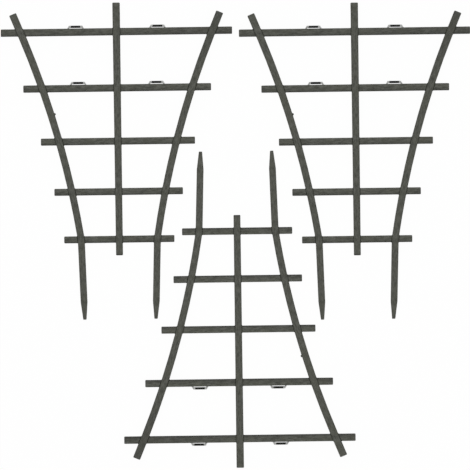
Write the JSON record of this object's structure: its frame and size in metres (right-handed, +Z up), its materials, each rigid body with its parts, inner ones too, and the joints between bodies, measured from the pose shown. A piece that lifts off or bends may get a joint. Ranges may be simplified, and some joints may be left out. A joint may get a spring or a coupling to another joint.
{
  "type": "stacking plant trellis set",
  "caption": "Fan-shaped lattice panels for climbing plants, with pointed stakes below and sockets behind the top rungs that take another panel's stakes.",
  "frame": {"origin": "on the table, under the middle of the whole set's outline", "axes": "+X to the right along the top rungs, +Y towards the heads of the two side panels, +Z up from the table"},
  "size_m": [0.5694, 0.5642, 0.0144],
  "materials": {
    "bar_plastic": "satin moulded olive charcoal with a fine lengthwise grain",
    "socket_plastic": "satin moulded charcoal"
  },
  "bodies": {
    "left_panel": {"left_panel_left_leg": "bar_plastic", "left_panel_right_leg": "bar_plastic", "left_panel_centre_post": "bar_plastic", "left_panel_rung_1": "bar_plastic", "left_panel_rung_2": "bar_plastic", "left_panel_rung_3": "bar_plastic", "left_panel_rung_4": "bar_plastic", "left_panel_rung_5": "bar_plastic", "left_panel_left_socket_1": "socket_plastic", "left_panel_right_socket_1": "socket_plastic", "left_panel_left_socket_2": "socket_plastic", "left_panel_right_socket_2": "socket_plastic"},
    "right_panel": {"right_panel_left_leg": "bar_plastic", "right_panel_right_leg": "bar_plastic", "right_panel_centre_post": "bar_plastic", "right_panel_rung_1": "bar_plastic", "right_panel_rung_2": "bar_plastic", "right_panel_rung_3": "bar_plastic", "right_panel_rung_4": "bar_plastic", "right_panel_rung_5": "bar_plastic", "right_panel_left_socket_1": "socket_plastic", "right_panel_right_socket_1": "socket_plastic", "right_panel_left_socket_2": "socket_plastic", "right_panel_right_socket_2": "socket_plastic"},
    "middle_panel": {"middle_panel_left_leg": "bar_plastic", "middle_panel_right_leg": "bar_plastic", "middle_panel_centre_post": "bar_plastic", "middle_panel_rung_1": "bar_plastic", "middle_panel_rung_2": "bar_plastic", "middle_panel_rung_3": "bar_plastic", "middle_panel_rung_4": "bar_plastic", "middle_panel_rung_5": "bar_plastic", "middle_panel_left_socket_1": "socket_plastic", "middle_panel_right_socket_1": "socket_plastic", "middle_panel_left_socket_2": "socket_plastic", "middle_panel_right_socket_2": "socket_plastic"}
  },
  "joints": [
    {"name": "right_panel_lift", "type": "slide", "parent": "left_panel", "child": "right_panel", "axis": [0, 0, 1], "range_m": [0, 0.1]},
    {"name": "middle_panel_lift", "type": "slide", "parent": "left_panel", "child": "middle_panel", "axis": [0, 0, 1], "range_m": [0, 0.1]}
  ]
}
